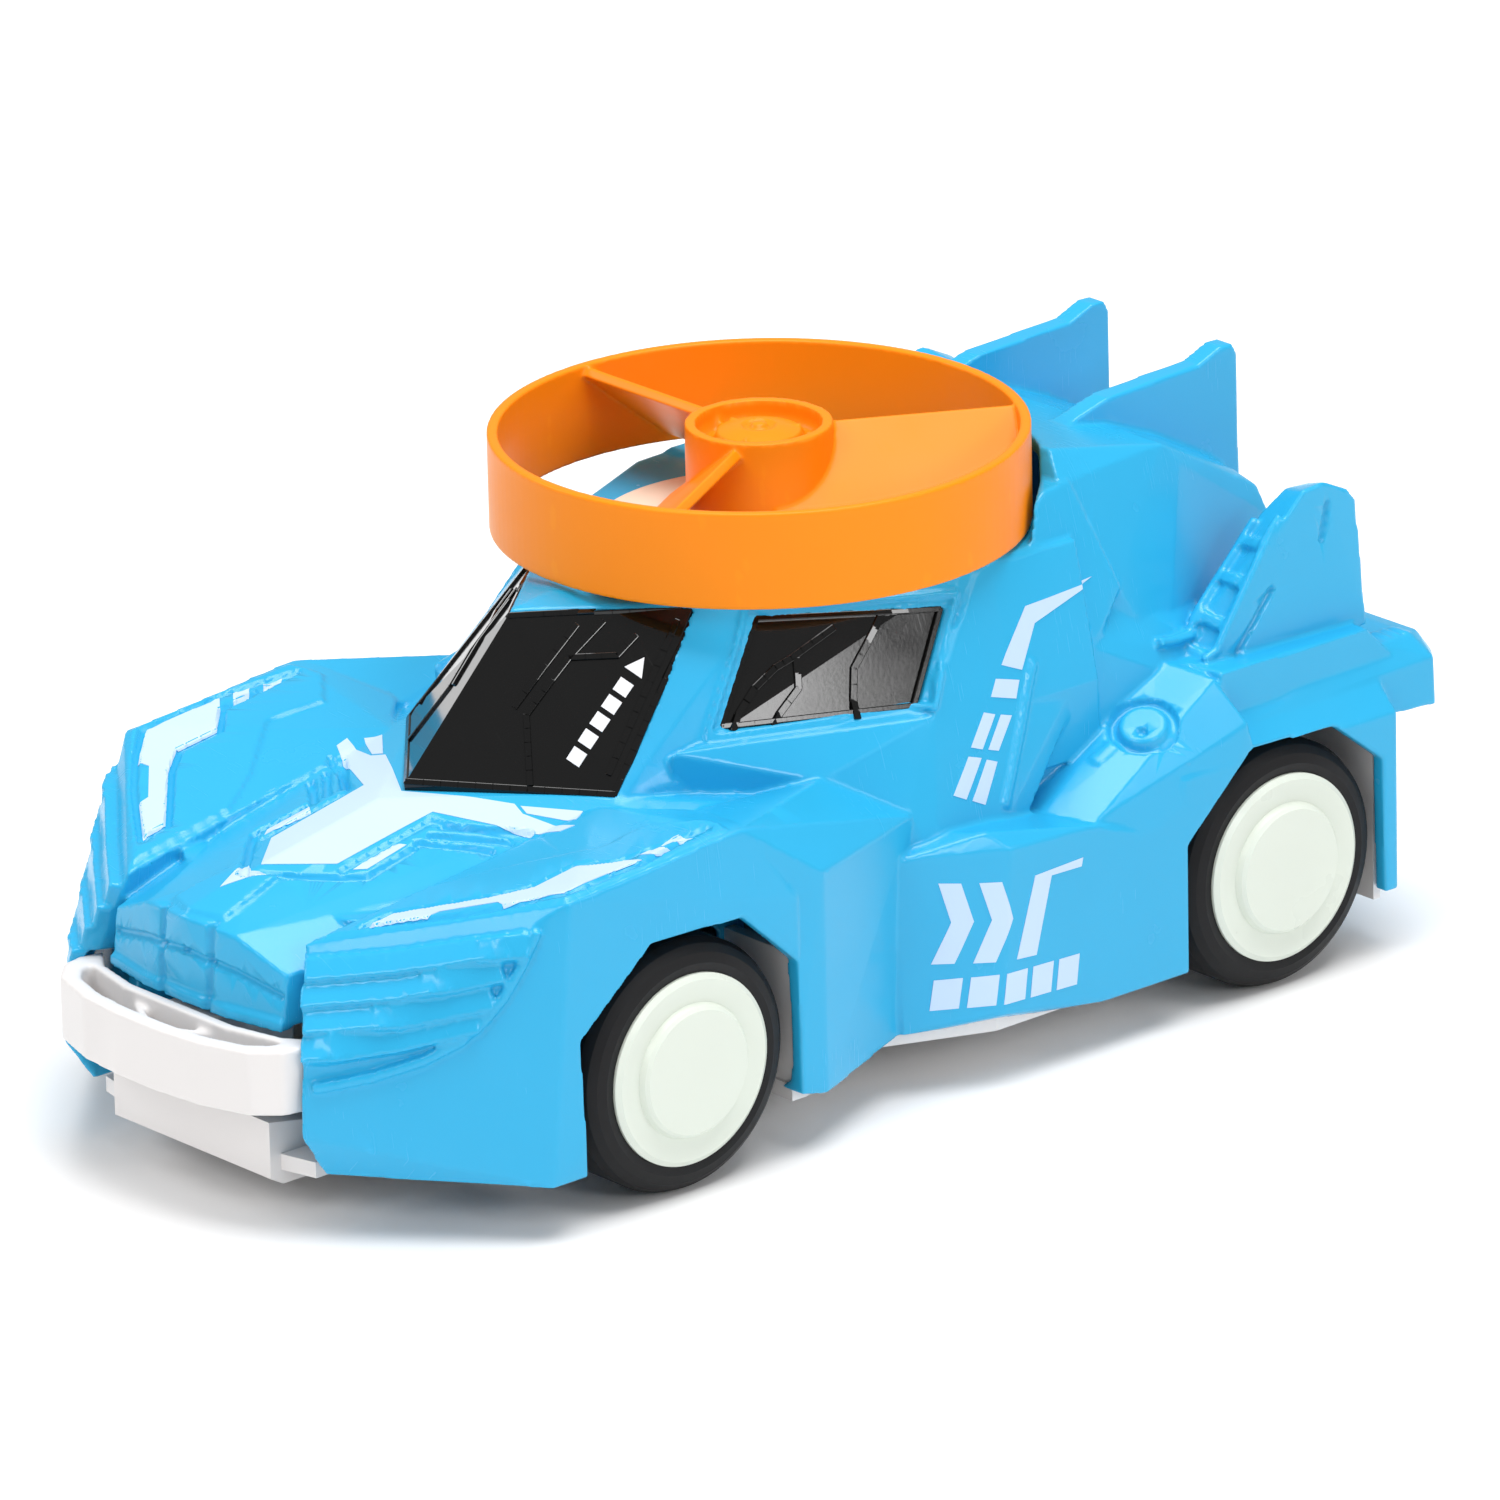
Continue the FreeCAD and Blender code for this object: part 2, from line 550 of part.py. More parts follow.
def bumper():
    """Hoop-shaped front bumper with a V rib and a stem that runs back."""
    outer = [
        (-15.2, -28.9), (-15.9, -31.0), (-15.4, -33.4), (-13.2, -35.6), (-8.0, -37.2),
        (-2.8, -37.7), (2.8, -37.7), (8.0, -37.2), (13.2, -35.6), (15.4, -33.4),
        (15.9, -31.0), (15.2, -28.9), (12.6, -30.9), (7.0, -32.1), (-7.0, -32.1), (-12.6, -30.9),
    ]
    hole = [
        (-13.6, -31.6), (-13.2, -33.0), (-11.6, -34.4), (-7.6, -35.6), (-2.6, -36.1),
        (2.6, -36.1), (7.6, -35.6), (11.6, -34.4), (13.2, -33.0), (13.6, -31.6),
        (12.2, -32.0), (7.0, -33.2), (-7.0, -33.2), (-12.2, -32.0),
    ]
    hoop = prism_z(outer, BUMPER_Z0, BUMPER_Z1)
    hoop = hoop.cut(prism_z(hole, BUMPER_Z0 + 1.2, BUMPER_Z1 + 1.0))
    rib = [
        (-6.2, -33.0), (-5.2, -33.0), (0.0, -35.3), (5.2, -33.0), (6.2, -33.0),
        (0.4, -36.3), (-0.4, -36.3),
    ]
    ribs = prism_z(rib, BUMPER_Z0, BUMPER_Z1 - 1.0)
    stem = box(-3.4, 3.4, -32.4, -22.0, 12.4, 17.4)
    stem = stem.cut(box(-1.6, 1.6, -27.0, -20.0, 12.4, 15.2))
    return join([hoop, ribs, stem])


def push_bar():
    """Flat bar pinned under the bumper stem, reaching back to the lever."""
    bar = box(-1.5, 1.5, -26.8, LEVER_PIVOT[0] - 1.5, BAR_Z0, BAR_Z1)
    pad = box(-2.4, 2.4, LEVER_PIVOT[0] - 3.0, LEVER_PIVOT[0] - 1.5, BAR_Z0, BAR_Z1 + 0.7)
    tab = box(-3.3, 3.3, 5.0, 6.4, 7.0, BAR_Z1)
    return join([bar, pad, tab])


def bumper_spring():
    return coil(0.3, 2.0, 6.0, 6.0, 0.0, 6.9, 8.8, along_y=True)


def latch_lever():
    """Rocking lever: bar below, catch beside the ratchet wheel above."""
    y, z = LEVER_PIVOT
    arm = box(-2.4, 2.4, y - 1.2, y + 1.2, z - LEVER_ARM, z + 8.6)
    claw = box(-2.0, 2.0, y, SPIN_Y - RATCHET_R - 0.3, z + 7.0, z + 8.6)
    body = join([arm, rod_x(2.2, y, z, -2.4, 2.4), claw])
    return body.cut(rod_x(PIN_R + RUN_GAP, y, z, -5.0, 5.0))


def latch_pin():
    return rod_x(PIN_R, LEVER_PIVOT[0], LEVER_PIVOT[1], -5.2, 5.2)


# ---------------------------------------------------------------- launcher

def launcher_base():
    """Pale round seat let into the roof under the propeller."""
    disc = rod_z(BASE_R, 0, SPIN_Y, SEAT_Z0, SEAT_Z1)
    collar = rod_z(COLLAR_R, 0, SPIN_Y, COLLAR_Z0, SEAT_Z1)
    return join([disc, collar]).cut(rod_z(SPINDLE_R + RUN_GAP, 0, SPIN_Y, 20.0, 60.0))


def launcher_cage():
    """Bracket under the seat that carries the foot of the spindle."""
    ring = rod_z(CAGE_R, 0, SPIN_Y, CAGE_Z0, CAGE_Z1)
    ring = ring.cut(rod_z(SPINDLE_R + RUN_GAP, 0, SPIN_Y, 20.0, 60.0))
    legs = []
    for a in (35.0, 145.0):
        x = CAGE_LEG_CIRCLE * math.cos(math.radians(a))
        y = SPIN_Y + CAGE_LEG_CIRCLE * math.sin(math.radians(a))
        legs.append(rod_z(CAGE_LEG_R, x, y, CAGE_Z1 - 0.7, SEAT_Z0))
    return join([ring] + legs)


def spindle():
    """Shaft with a ratchet wheel below and a splined nose above."""
    shaft = rod_z(SPINDLE_R, 0, SPIN_Y, 26.0, 52.0)
    wheel = rod_z(RATCHET_R, 0, SPIN_Y, RATCHET_Z0, RATCHET_Z0 + 1.8)
    for k in range(RATCHET_TEETH):
        notch = box(0.0, 2.0, RATCHET_R - 1.0, RATCHET_R + 1.0, RATCHET_Z0 - 1, RATCHET_Z0 + 3)
        notch.rotate(V(0, 0, 0), V(0, 0, 1), 360.0 * k / RATCHET_TEETH)
        notch.translate(V(0, SPIN_Y, 0))
        wheel = wheel.cut(notch)
    return join([shaft, wheel])


def launcher_spring():
    """Torsion spring wound on the spindle above its ratchet wheel."""
    return coil(0.3, 3.2, 8.0, 6.0, 0.0, SPIN_Y, RATCHET_Z0 + 2.6)


def propeller():
    ring = rod_z(RING_R, 0, SPIN_Y, RING_Z0, RING_Z1)
    ring = ring.cut(rod_z(RING_R - RING_WALL, 0, SPIN_Y, RING_Z0 - 1, RING_Z1 + 1))
    hub_out = rod_z(PROP_HUB_R, 0, SPIN_Y, 46.6, PROP_HUB_TOP)
    hub_out = hub_out.cut(rod_z(PROP_HUB_R - 1.0, 0, SPIN_Y, PROP_HUB_TOP - 1.2, 60.0))
    dome = Part.makeSphere(12.0, V(0, SPIN_Y, 56.0 - 12.0)).common(
        rod_z(PROP_HUB_R - 1.0, 0, SPIN_Y, PROP_HUB_TOP - 1.3, 60.0))
    parts = [ring, hub_out, dome]
    for a in BLADE_ANGLES:
        blade = box(0.0, RING_R - 0.5, -BLADE_CHORD, 0.0, -1.0, 0.0)
        blade.rotate(V(0, 0, 0), V(1, 0, 0), BLADE_PITCH)
        blade.rotate(V(0, 0, 0), V(0, 0, 1), a)
        blade.translate(V(0, SPIN_Y, RING_Z1 - 0.2))
        parts.append(blade.common(rod_z(RING_R - 0.4, 0, SPIN_Y, 40.0, 60.0)))
    prop = join(parts)
    return prop.cut(rod_z(SPINDLE_R + RUN_GAP, 0, SPIN_Y, 40.0, 52.4))


# ---------------------------------------------------------------- export

def export(name, shape):
    shape.translate(V(0, SHIFT_Y, 0))
    shape.exportStep("parts/" + name + ".step")


def main():
    shell = body_shell()
    nodes = {
        "body_shell": shell,
        "windscreen": windscreen(),
        "side_window_left": glazing(side_region(1), SIDE_GLASS_SINK),
        "side_window_right": glazing(side_region(-1), SIDE_GLASS_SINK),
        "chassis": chassis(shell),
        "screws": screws(),
        "axle_pinion": axle_pinion(),
        "compound_gear": compound_gear(),
        "drum_gear": drum_gear(),
        "mainspring": mainspring(),
        "motor_case_left": motor_case(1),
        "motor_case_right": motor_case(-1),
        "gear_shafts": gear_shafts(),
        "bumper": bumper(),
        "push_bar": push_bar(),
        "bumper_spring": bumper_spring(),
        "latch_lever": latch_lever(),
        "latch_pin": latch_pin(),
        "launcher_base": launcher_base(),
        "launcher_cage": launcher_cage(),
        "spindle": spindle(),
        "launcher_spring": launcher_spring(),
        "propeller": propeller(),
    }
    for end, y in (("front", 0.0), ("rear", WHEELBASE)):
        nodes[end + "_axle"] = axle(y)
        nodes[end + "_hub_left"] = hub(y)
        nodes[end + "_hub_right"] = mirrored(hub(y))
        nodes[end + "_tyre_left"] = tyre(y)
        nodes[end + "_tyre_right"] = mirrored(tyre(y))
    for name, shape in nodes.items():
        print(name, shape.isValid(), [round(s.Volume, 1) for s in shape.Solids])
        export(name, shape)


main()
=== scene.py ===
import math

import bmesh
import bpy
import numpy
from mathutils import Matrix, Vector
from mathutils.bvhtree import BVHTree


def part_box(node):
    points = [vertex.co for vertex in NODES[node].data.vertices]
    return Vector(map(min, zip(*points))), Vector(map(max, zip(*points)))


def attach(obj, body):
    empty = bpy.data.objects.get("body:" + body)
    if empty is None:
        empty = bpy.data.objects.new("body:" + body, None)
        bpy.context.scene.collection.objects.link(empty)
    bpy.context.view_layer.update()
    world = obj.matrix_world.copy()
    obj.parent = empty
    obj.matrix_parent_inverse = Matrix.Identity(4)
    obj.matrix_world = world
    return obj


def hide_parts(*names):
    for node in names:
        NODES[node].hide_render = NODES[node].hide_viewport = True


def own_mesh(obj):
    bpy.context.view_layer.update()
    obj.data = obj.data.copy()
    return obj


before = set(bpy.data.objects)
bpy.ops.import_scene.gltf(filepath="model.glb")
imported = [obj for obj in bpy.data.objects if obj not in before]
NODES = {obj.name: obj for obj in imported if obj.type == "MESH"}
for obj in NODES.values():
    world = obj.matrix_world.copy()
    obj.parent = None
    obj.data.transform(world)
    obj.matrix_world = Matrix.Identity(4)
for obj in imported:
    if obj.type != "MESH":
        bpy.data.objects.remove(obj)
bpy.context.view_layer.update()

SCENE = bpy.context.scene
MM = 0.001

UP = Vector((0, 0, 1))
FRONT = Vector((0, -1, 0))
SIDE = Vector((1, 0, 0))
CELL = 0.6
PRINT_CELL = 0.25
REACH = 3.0
PRINT_PROUD = 0.06
PRINT_DEEP = 0.15
SINK_REACH = 0.9
SINK_FALLOFF = 4
MESH_GRID = 0.25
PROPELLER_GRID = 0.2
SMOOTH_ROUNDS = 2
BUMPER_ROUNDS = 8
BODY_TRIANGLES = 195000
BUMPER_TRIANGLES = 60000
PROPELLER_TRIANGLES = 150000


# ---------------------------------------------------------------- finishes

def effect_group(name, takes, gives):
    tree = bpy.data.node_groups.new(name, "ShaderNodeTree")
    for label, kind, value in takes:
        socket = tree.interface.new_socket(name=label, in_out="INPUT", socket_type=kind)
        socket.default_value = value
    for label, kind in gives:
        tree.interface.new_socket(name=label, in_out="OUTPUT", socket_type=kind)
    return tree, tree.nodes.new("NodeGroupInput"), tree.nodes.new("NodeGroupOutput")


def noise(tree, where, scale, detail=2.0, stretch=None):
    """Noise on the piece's own coordinates; scale is in waves per metre."""
    node = tree.nodes.new("ShaderNodeTexNoise")
    node.inputs["Scale"].default_value = scale
    node.inputs["Detail"].default_value = detail
    if stretch:
        turn = tree.nodes.new("ShaderNodeMapping")
        turn.inputs["Scale"].default_value = stretch
        turn.inputs["Rotation"].default_value = (0.3, 0.5, 0.8)
        tree.links.new(where, turn.inputs["Vector"])
        where = turn.outputs["Vector"]
    tree.links.new(where, node.inputs["Vector"])
    return node


def spread(tree, value, low, high, out_low=0.0, out_high=1.0):
    node = tree.nodes.new("ShaderNodeMapRange")
    for label, number in (("From Min", low), ("From Max", high), ("To Min", out_low), ("To Max", out_high)):
        node.inputs[label].default_value = number
    tree.links.new(value, node.inputs["Value"])
    return node.outputs["Result"]


def sums(tree, kind, a, b):
    node = tree.nodes.new("ShaderNodeMath")
    node.operation = kind
    for slot, value in zip(node.inputs, (a, b)):
        if isinstance(value, float):
            slot.default_value = value
        else:
            tree.links.new(value, slot)
    return node.outputs[0]


def blended(tree, share, a, b):
    node = tree.nodes.new("ShaderNodeMix")
    node.data_type = "RGBA"
    tree.links.new(share, node.inputs["Factor"])
    tree.links.new(a, node.inputs[6])
    tree.links.new(b, node.inputs[7])
    return node.outputs[2]


def make_skin():
    """Moulded skin: faint mottling, edges and corners painted paler as a painted highlight, uneven gloss and
    a fine grain.
    """
    tree, got, out = effect_group("moulded_skin", [
        ("Colour", "NodeSocketColor", (0.8, 0.8, 0.8, 1)),
        ("Deep Colour", "NodeSocketColor", (0.7, 0.7, 0.7, 1)),
        ("Painted Edge Highlight Colour", "NodeSocketColor", (0.9, 0.9, 0.9, 1)),
        ("Roughness", "NodeSocketFloat", 0.3),
        ("Uneven", "NodeSocketFloat", 0.1),
        ("Grain", "NodeSocketFloat", 1800.0),
    ], [("Colour", "NodeSocketColor"), ("Roughness", "NodeSocketFloat"), ("Height", "NodeSocketFloat")])
    where = tree.nodes.new("ShaderNodeTexCoord").outputs["Object"]
    cloud = spread(tree, noise(tree, where, 48.0, 3.0).outputs["Fac"], 0.35, 0.65)
    body = blended(tree, cloud, got.outputs["Deep Colour"], got.outputs["Colour"])
    # Pointiness picks out sharp edges and corners, which are painted paler: a painted highlight standing in
    # for gloss catching the light along edges.
    corner = tree.nodes.new("ShaderNodeNewGeometry").outputs["Pointiness"]
    painted_highlight_share = spread(tree, corner, 0.52, 0.62, 0.0, 0.55)
    tree.links.new(blended(tree, painted_highlight_share, body, got.outputs["Painted Edge Highlight Colour"]), out.inputs["Colour"])
    smear = spread(tree, noise(tree, where, 140.0, 4.0).outputs["Fac"], 0.3, 0.7, -0.5, 0.5)
    uneven = sums(tree, "MULTIPLY", smear, got.outputs["Uneven"])
    tree.links.new(sums(tree, "ADD", uneven, got.outputs["Roughness"]), out.inputs["Roughness"])
    fine = noise(tree, where, 1800.0, 3.0)
    tree.links.new(got.outputs["Grain"], fine.inputs["Scale"])
    wave = spread(tree, noise(tree, where, 70.0, 1.0).outputs["Fac"], 0.0, 1.0, 0.0, 2.0)
    tree.links.new(sums(tree, "ADD", wave, fine.outputs["Fac"]), out.inputs["Height"])
    return tree


def make_rubs():
    """Handling marks: sparse hairlines from play, as a mask."""
    tree, got, out = effect_group("rub_marks", [
        ("Amount", "NodeSocketFloat", 0.1),
    ], [("Mask", "NodeSocketFloat")])
    where = tree.nodes.new("ShaderNodeTexCoord").outputs["Object"]
    hair = noise(tree, where, 260.0, 2.0, (1.0, 22.0, 1.0)).outputs["Fac"]
    lines = spread(tree, hair, 0.64, 0.72)
    patch = spread(tree, noise(tree, where, 90.0, 2.0).outputs["Fac"], 0.5, 0.62)
    both = sums(tree, "MULTIPLY", lines, patch)
    tree.links.new(sums(tree, "MULTIPLY", both, got.outputs["Amount"]), out.inputs["Mask"])
    return tree


SKIN = make_skin()
RUBS = make_rubs()


def tone(colour, k):
    return tuple(min(1.0, c * k) for c in colour) + (1,)


def moulded(name, colour, rough, uneven=0.08, grain=1800.0, lump=0.012, rubs=0.12, coat=0.0,
            deep=0.95, corner=1.12, metal=0.0, specular=0.5):
    """A solid-coloured moulding; lump is the height of its grain in millimetres."""
    material = bpy.data.materials.new(name)
    material.use_nodes = True
    tree = material.node_tree
    shader = tree.nodes["Principled BSDF"]
    skin = tree.nodes.new("ShaderNodeGroup")
    skin.node_tree = SKIN
    skin.inputs["Colour"].default_value = tone(colour, 1.0)
    skin.inputs["Deep Colour"].default_value = tone(colour, deep)
    # The edge colour is a painted highlight: the base colour made brighter where edges are sharp.
    skin.inputs["Painted Edge Highlight Colour"].default_value = tone(colour, corner)
    skin.inputs["Roughness"].default_value = rough
    skin.inputs["Uneven"].default_value = uneven
    skin.inputs["Grain"].default_value = grain
    marks = tree.nodes.new("ShaderNodeGroup")
    marks.node_tree = RUBS
    marks.inputs["Amount"].default_value = rubs
    tree.links.new(skin.outputs["Colour"], shader.inputs["Base Color"])
    shine = sums(tree, "ADD", skin.outputs["Roughness"], marks.outputs["Mask"])
    tree.links.new(shine, shader.inputs["Roughness"])
    bump = tree.nodes.new("ShaderNodeBump")
    bump.inputs["Strength"].default_value = 0.5
    bump.inputs["Distance"].default_value = lump * MM
    tree.links.new(skin.outputs["Height"], bump.inputs["Height"])
    tree.links.new(bump.outputs["Normal"], shader.inputs["Normal"])
    shader.inputs["Metallic"].default_value = metal
    shader.inputs["Specular IOR Level"].default_value = specular
    shader.inputs["Coat Weight"].default_value = coat
    shader.inputs["Coat Roughness"].default_value = 0.04
    return material


# The corner factors set how much paler the edges are painted: a painted highlight, strongest on the black
# parts.
FINISHES = {
    "blue_shell": moulded("blue_shell", (0.024, 0.405, 0.71), 0.24, lump=0.006, deep=0.97, specular=0.4),
    "black_screen": moulded(
        "black_screen", (0.002, 0.002, 0.002), 0.08, 0.04, 2600.0, 0.002, corner=2.0),
    "white_plastic": moulded(
        "white_plastic", (0.76, 0.735, 0.725), 0.34, 0.10, 1500.0, 0.010, corner=1.03, specular=0.4),
    "steel": moulded("steel", (0.56, 0.56, 0.58), 0.30, 0.14, 2400.0, 0.004, 0.25, corner=1.15, metal=1.0),
    "gear_white": moulded("gear_white", (0.80, 0.80, 0.76), 0.42, corner=1.05),
    "gear_grey": moulded("gear_grey", (0.30, 0.31, 0.32), 0.45),
    "case_black": moulded("case_black", (0.016, 0.016, 0.018), 0.42, 0.12, 1200.0, 0.02, corner=1.8),
    "cream_plastic": moulded("cream_plastic", (0.86, 0.76, 0.62), 0.36, corner=1.04),
    "orange_plastic": moulded(
        "orange_plastic", (1.0, 0.262, 0.004), 0.36, lump=0.008, deep=0.97, corner=1.1, specular=0.2),
    "wheel_white": moulded(
        "wheel_white", (0.70, 0.75, 0.67), 0.30, 0.08, 1600.0, 0.008, corner=1.05, specular=0.35),
    "tyre_black": moulded(
        "tyre_black", (0.009, 0.009, 0.010), 0.46, 0.14, 1100.0, 0.03, 0.2, corner=1.5, specular=0.2),
}
PRINT = moulded("pale_print", (0.52, 0.68, 0.88), 0.34, 0.10, 2200.0, 0.004, 0.16, deep=0.97, corner=1.0)
SCREEN_PRINT = moulded("screen_print", (0.82, 0.82, 0.84), 0.36, 0.10, 2200.0, 0.004, 0.16, corner=1.0)


# ---------------------------------------------------------------- shaping

def spot(p):
    return Vector(p) * MM


def merged(node):
    """A copy of a node's mesh with its loose triangles joined up."""
    bm = bmesh.new()
    bm.from_mesh(NODES[node].data)
    bmesh.ops.remove_doubles(bm, verts=bm.verts[:], dist=1e-6)
    return bm


def mesh_from(bm, name):
    mesh = bpy.data.meshes.new(name)
    bm.to_mesh(mesh)
    return mesh


def piece_from(mesh, name, material):
    mesh.materials.clear()
    mesh.materials.append(material)
    piece = bpy.data.objects.new(name, mesh)
    SCENE.collection.objects.link(piece)
    return piece


def settled(piece, name):
    """The piece's mesh with its modifiers applied."""
    view = bpy.context.evaluated_depsgraph_get()
    mesh = bpy.data.meshes.new_from_object(piece.evaluated_get(view))
    mesh.name = name
    bpy.data.objects.remove(piece)
    return mesh


def touch(tree, p, view):
    """Where a line through p along view meets the surface, and the normal there."""
    place, normal, _, _ = tree.ray_cast(spot(p) + view * REACH * MM, -view, 3 * REACH * MM)
    if place is None:
        return spot(p), view.copy()
    return place, normal


def walked(path, step):
    """The path's points with more between them, a step apart."""
    out = [Vector(path[0])]
    for a, b in zip(path, path[1:]):
        a, b = Vector(a), Vector(b)
        count = max(1, math.ceil((b - a).length / step))
        out += [a.lerp(b, k / count) for k in range(1, count + 1)]
    return out


def strip(bm, tree, path, view, width, below, above, tilt=0.0, step=1.6):
    """A bar along a surface: below and above are its depth and height from the surface."""
    places = [touch(tree, p, view) for p in walked(path, step)]
    for (a, na), (b, nb) in zip(places, places[1:]):
        along = b - a
        if along.length < 1e-5:
            continue
        length = along.length
        along = along / length
        up = (na + nb).normalized()
        across = up.cross(along).normalized()
        up = along.cross(across)
        if tilt:
            turn = Matrix.Rotation(math.radians(tilt), 3, along)
            across, up = turn @ across, turn @ up
        frame3 = Matrix((along, across, up)).transposed().to_4x4()
        size = Matrix.Diagonal((length + 0.4 * width * MM, width * MM, (below + above) * MM, 1))
        shift = Matrix.Translation((a + b) / 2 + up * (above - below) / 2 * MM)
        bmesh.ops.create_cube(bm, size=1.0, matrix=shift @ frame3 @ size)


def plate(bm, tree, outline, view, below, above, cell=CELL):
    """A thin layer over a surface, inside an outline seen along view."""
    part = bmesh.new()
    corners = [part.verts.new(spot(p)) for p in outline]
    part.faces.new(corners)
    bmesh.ops.triangulate(part, faces=part.faces[:])
    flat = [axis for axis in (Vector((1, 0, 0)), Vector((0, 1, 0)), UP) if abs(axis.dot(view)) < 0.75]
    for axis in flat[:2] if len(flat) > 1 else flat:
        reach = [axis.dot(v.co) for v in part.verts]
        count = int((max(reach) - min(reach)) / (cell * MM))
        for k in range(1, count + 1):
            bmesh.ops.bisect_plane(
                part, geom=part.verts[:] + part.edges[:] + part.faces[:], dist=1e-7,
                plane_co=axis * (min(reach) + k * cell * MM), plane_no=axis)
    under = part.verts[:]
    grown = bmesh.ops.extrude_face_region(part, geom=part.faces[:], use_keep_orig=True)
    over = [item for item in grown["geom"] if isinstance(item, bmesh.types.BMVert)]
    for group, move in ((under, -below), (over, above)):
        for v in group:
            place, normal = touch(tree, v.co / MM, view)
            v.co = place + normal * move * MM
    bmesh.ops.recalc_face_normals(part, faces=part.faces[:])
    lay = bpy.data.meshes.new("layer")
    part.to_mesh(lay)
    bm.from_mesh(lay)
    part.free()


def flipped(path):
    return [(-x, y, z) for x, y, z in path]


def turned_view(view):
    return Vector((-view.x, view.y, view.z))


def sunk(mesh, presses):
    """Presses narrow channels into a dense mesh along paths that lie on it."""
    count = len(mesh.vertices)
    flat = numpy.empty(count * 3)
    mesh.vertices.foreach_get("co", flat)
    places = flat.reshape(count, 3)
    for path, view, width, depth in presses:
        way = numpy.array(view)
        half = width * MM / 2
        share = numpy.zeros(count)
        for a, b in zip(path, path[1:]):
            a, b = numpy.array(a), numpy.array(b)
            run = b - a
            run = run - way * run.dot(way)
            off = places - a
            deep = off @ way - (off @ run) * ((b - a).dot(way) / run.dot(run))
            off = off - numpy.outer(off @ way, way)
            part = numpy.clip(off @ run / run.dot(run), 0.0, 1.0)
            gap = numpy.linalg.norm(off - numpy.outer(part, run), axis=1) / half
            close = (numpy.abs(deep) < SINK_REACH * MM) & (gap < 1.0)
            share = numpy.maximum(share, numpy.where(close, 1.0 - gap ** SINK_FALLOFF, 0.0))
        places -= numpy.outer(share * depth * MM, way)
    mesh.vertices.foreach_set("co", places.reshape(-1))
    mesh.update()


def refined(name, node, material, raised, presses, voxel, rounds, triangles):
    """A node's shape with details added and pressed in, its edges softened as a mould leaves them."""
    whole = merged(node)
    whole.from_mesh(mesh_from(raised, name + "_raised"))
    base = piece_from(mesh_from(whole, name), name, material)
    grid = base.modifiers.new("grid", "REMESH")
    grid.mode = "VOXEL"
    grid.voxel_size = voxel * MM
    soft = base.modifiers.new("soft", "SMOOTH")
    soft.factor = 0.5
    soft.iterations = rounds
    mesh = settled(base, name)
    if presses:
        sunk(mesh, presses)
    base = piece_from(mesh, name, material)
    if 2 * len(mesh.polygons) > triangles:
        thin = base.modifiers.new("thin", "DECIMATE")
        thin.ratio = triangles / (2 * len(mesh.polygons))
        mesh = settled(base, name)
        base = piece_from(mesh, name, material)
    for face in mesh.polygons:
        face.use_smooth = True
    even = base.modifiers.new("even", "WEIGHTED_NORMAL")
    even.mode = "FACE_AREA"
    even.weight = 60
    return base


# ---------------------------------------------------------------- body details

SHELL = merged("body_shell")
SHELL_TREE = BVHTree.FromBMesh(SHELL)
ribs = bmesh.new()
presses = []


def press(path, view, width, depth, both=True):
    """Marks a channel to be pressed in; its ends come from the surface itself."""
    for line, way in ((path, view), (flipped(path), turned_view(view)))[:2 if both else 1]:
        presses.append(([touch(SHELL_TREE, p, way)[0] for p in walked(line, 2.0)], way, width, depth))


def on_both(make, bm, path, view, *sizes, **more):
    make(bm, SHELL_TREE, path, view, *sizes, **more)
    make(bm, SHELL_TREE, flipped(path), turned_view(view), *sizes, **more)


FENDER_PAD = [
    (13.4, -55.4, 26.4), (14.1, -43.6, 27.6), (17.3, -38.4, 29.4), (23.4, -31.3, 31.1),
    (22.7, -25.1, 31.6), (27.2, -21.6, 32.2), (30.5, -22.6, 32.4), (30.4, -41.6, 31.0),
]
FENDER_LINE = [
    (28.6, -23.2, 32.3), (30.0, -31.4, 31.8), (29.7, -40.8, 30.9), (26.9, -43.9, 30.1),
    (22.8, -47.5, 29.0), (18.6, -50.6, 28.0), (15.4, -52.8, 27.2), (15.7, -49.3, 27.7),
    (18.4, -46.9, 28.4), (22.4, -43.4, 29.4), (24.6, -40.6, 30.1), (24.6, -35.8, 30.9),
    (27.7, -32.9, 31.4), (28.6, -23.2, 32.3),
]
HOOD_CHEVRON = [
    (0.0, -53.6, 28.5), (2.9, -50.6, 28.4), (6.0, -47.7, 28.2), (7.9, -45.6, 28.2), (7.6, -40.0, 29.4),
]
HOOD_ARCS = [
    [(12.6, -35.2, 29.2), (10.8, -36.4, 29.4), (7.3, -39.1, 29.7)],
    [(12.8, -33.1, 29.6), (10.6, -34.9, 29.7), (7.3, -37.6, 29.9)],
    [(13.0, -31.0, 30.0), (10.4, -33.0, 30.1), (6.9, -36.0, 30.4)],
]
HOOD_RIM = [(5.6, -46.6, 28.7), (5.6, -38.9, 30.0), (5.6, -36.2, 30.7), (14.6, -31.0, 30.4)]
NOSE_RIB = [
    (2.3, -51.0, 28.4), (3.0, -54.6, 27.6), (3.6, -58.6, 26.6), (0.0, -60.0, 26.6),
    (-3.6, -58.6, 26.6), (-3.0, -54.6, 27.6), (-2.3, -51.0, 28.4), (0.0, -53.4, 28.4),
]
NOSE_FALL = [(3.3, -60.2, 25.9), (3.4, -60.5, 22.0), (3.2, -60.5, 18.6)]
NOSE_STEP = [(0.0, -60.4, 23.2), (6.0, -60.2, 22.6), (11.4, -59.0, 21.4)]
NOSE_LIP = [(-11.8, -60.4, 18.7), (0.0, -60.6, 18.7), (11.8, -60.4, 18.7)]
